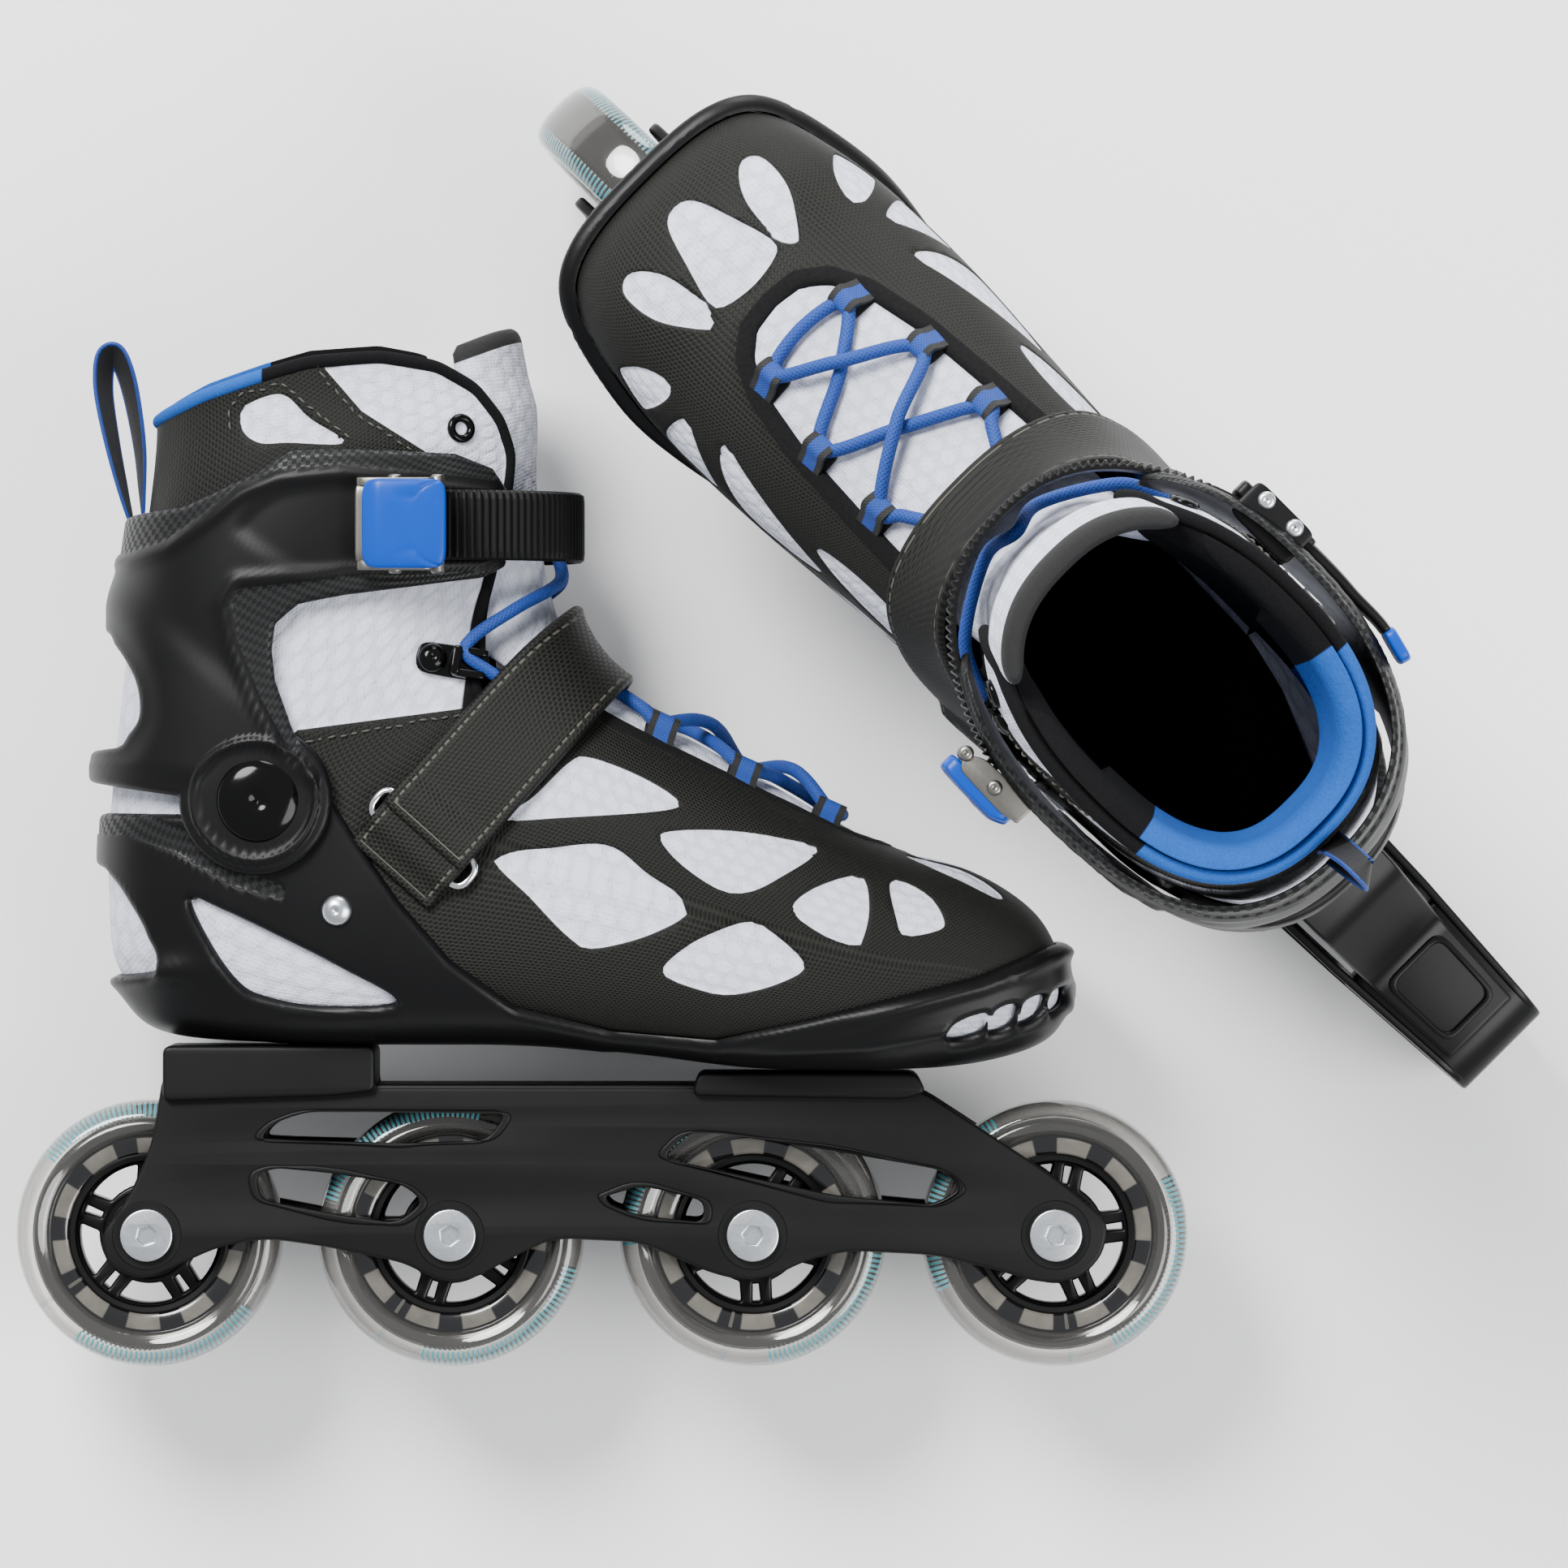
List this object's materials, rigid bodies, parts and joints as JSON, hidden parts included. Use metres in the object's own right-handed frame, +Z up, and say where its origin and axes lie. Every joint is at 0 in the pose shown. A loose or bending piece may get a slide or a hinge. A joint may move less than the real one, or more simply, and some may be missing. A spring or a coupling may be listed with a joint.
{
  "type": "inline skates",
  "caption": "Pair of soft-boot inline skates with hinged cuffs, ladder buckles and laces; one lies on its side, the other stands upright with a heel brake.",
  "frame": {"origin": "on the floor under the middle of the pair's box", "axes": "+X along the lying skate towards its toe, +Y from its wheels towards its collar, +Z up"},
  "size_m": [0.4614, 0.3826, 0.31],
  "materials": {
    "frame": "satin moulded nylon",
    "shell": "satin moulded plastic",
    "cuff": "satin moulded plastic with textured bands",
    "mesh": "white mesh with a dark embossed overlay",
    "lining": "brushed fleece, blue at the heel and black elsewhere",
    "strap": "embossed synthetic leather with stitched edges",
    "ladder": "moulded plastic with fine teeth",
    "lever": "glossy blue",
    "steel": "plated steel",
    "lace": "round braided cord",
    "tyre": "clear cast polyurethane",
    "hub": "moulded nylon",
    "rubber": "hard brake rubber"
  },
  "bodies": {
    "left_skate": {"left_frame": "frame", "left_base_shell": "shell", "left_upper": "mesh", "left_footbed": "lining", "left_power_strap": "strap", "left_lace": "lace", "left_axle_1": "steel", "left_axle_2": "steel", "left_axle_3": "steel", "left_axle_4": "steel"},
    "left_shaft": {"left_cuff": "cuff", "left_collar_shaft": "mesh", "left_tongue": "mesh", "left_buckle_body": "steel"},
    "left_release": {"left_release_lever": "lever"},
    "left_ladder": {"left_ladder_strap": "ladder"},
    "left_closing": {"left_closing_lever": "ladder"},
    "left_wheel_1": {"left_tyre_1": "tyre", "left_hub_1": "hub", "left_bearings_1": "steel"},
    "left_wheel_2": {"left_tyre_2": "tyre", "left_hub_2": "hub", "left_bearings_2": "steel"},
    "left_wheel_3": {"left_tyre_3": "tyre", "left_hub_3": "hub", "left_bearings_3": "steel"},
    "left_wheel_4": {"left_tyre_4": "tyre", "left_hub_4": "hub", "left_bearings_4": "steel"},
    "right_skate": {"right_frame": "frame", "right_base_shell": "shell", "right_upper": "mesh", "right_footbed": "lining", "right_power_strap": "strap", "right_lace": "lace", "right_axle_1": "steel", "right_axle_2": "steel", "right_axle_3": "steel", "right_axle_4": "steel", "right_brake_arm": "frame", "right_brake_pad": "rubber"},
    "right_shaft": {"right_cuff": "cuff", "right_collar_shaft": "mesh", "right_tongue": "mesh", "right_buckle_body": "steel"},
    "right_release": {"right_release_lever": "lever"},
    "right_ladder": {"right_ladder_strap": "ladder"},
    "right_closing": {"right_closing_lever": "ladder"},
    "right_wheel_1": {"right_tyre_1": "tyre", "right_hub_1": "hub", "right_bearings_1": "steel"},
    "right_wheel_2": {"right_tyre_2": "tyre", "right_hub_2": "hub", "right_bearings_2": "steel"},
    "right_wheel_3": {"right_tyre_3": "tyre", "right_hub_3": "hub", "right_bearings_3": "steel"},
    "right_wheel_4": {"right_tyre_4": "tyre", "right_hub_4": "hub", "right_bearings_4": "steel"}
  },
  "joints": [
    {"name": "left_cuff_pivot", "type": "hinge", "parent": "left_skate", "child": "left_shaft", "pos_m": [-0.15596, -0.02153, 0.0579], "axis": [0, 0, -1], "range_deg": [-3, 5], "stiffness_Nm_per_rad": 12},
    {"name": "left_release_hinge", "type": "hinge", "parent": "left_shaft", "child": "left_release", "pos_m": [-0.11526, 0.05967, 0.1131], "axis": [0, -1, 0], "range_deg": [0, 30], "stiffness_Nm_per_rad": 0.02},
    {"name": "left_ladder_hinge", "type": "hinge", "parent": "left_shaft", "child": "left_ladder", "pos_m": [-0.11226, 0.05967, 0.003], "axis": [0, 1, 0], "range_deg": [0, 35]},
    {"name": "left_closing_hinge", "type": "hinge", "parent": "left_shaft", "child": "left_closing", "pos_m": [-0.12326, 0.05967, 0.003], "axis": [0, -1, 0], "range_deg": [0, 70]},
    {"name": "left_wheel_1_spin", "type": "hinge", "parent": "left_skate", "child": "left_wheel_1", "pos_m": [-0.19071, -0.15133, 0.0579], "axis": [0, 0, -1], "continuous": true},
    {"name": "left_wheel_2_spin", "type": "hinge", "parent": "left_skate", "child": "left_wheel_2", "pos_m": [-0.10041, -0.15133, 0.0579], "axis": [0, 0, -1], "continuous": true},
    {"name": "left_wheel_3_spin", "type": "hinge", "parent": "left_skate", "child": "left_wheel_3", "pos_m": [-0.01011, -0.15133, 0.0579], "axis": [0, 0, -1], "continuous": true},
    {"name": "left_wheel_4_spin", "type": "hinge", "parent": "left_skate", "child": "left_wheel_4", "pos_m": [0.08019, -0.15133, 0.0579], "axis": [0, 0, -1], "continuous": true},
    {"name": "right_cuff_pivot", "type": "hinge", "parent": "right_skate", "child": "right_shaft", "pos_m": [0.12595, -0.00753, 0.1698], "axis": [-0.7071, -0.7071, 0], "range_deg": [-3, 5], "stiffness_Nm_per_rad": 12},
    {"name": "right_release_hinge", "type": "hinge", "parent": "right_shaft", "child": "right_release", "pos_m": [0.05814, -0.01779, 0.251], "axis": [0, 0, 1], "range_deg": [0, 30], "stiffness_Nm_per_rad": 0.02},
    {"name": "right_ladder_hinge", "type": "hinge", "parent": "right_shaft", "child": "right_ladder", "pos_m": [0.13387, 0.06219, 0.251], "axis": [0, 0, -1], "range_deg": [0, 35]},
    {"name": "right_closing_hinge", "type": "hinge", "parent": "right_shaft", "child": "right_closing", "pos_m": [0.14165, 0.05441, 0.251], "axis": [0, 0, 1], "range_deg": [0, 70]},
    {"name": "right_wheel_1_spin", "type": "hinge", "parent": "right_skate", "child": "right_wheel_1", "pos_m": [0.15052, -0.03211, 0.04], "axis": [-0.7071, -0.7071, 0], "continuous": true},
    {"name": "right_wheel_2_spin", "type": "hinge", "parent": "right_skate", "child": "right_wheel_2", "pos_m": [0.08667, 0.03175, 0.04], "axis": [-0.7071, -0.7071, 0], "continuous": true},
    {"name": "right_wheel_3_spin", "type": "hinge", "parent": "right_skate", "child": "right_wheel_3", "pos_m": [0.02282, 0.0956, 0.04], "axis": [-0.7071, -0.7071, 0], "continuous": true},
    {"name": "right_wheel_4_spin", "type": "hinge", "parent": "right_skate", "child": "right_wheel_4", "pos_m": [-0.04103, 0.15945, 0.04], "axis": [-0.7071, -0.7071, 0], "continuous": true},
    {"name": "right_skate_lift", "type": "slide", "parent": "left_skate", "child": "right_skate", "axis": [0, 0, 1], "range_m": [0, 0.25]}
  ]
}
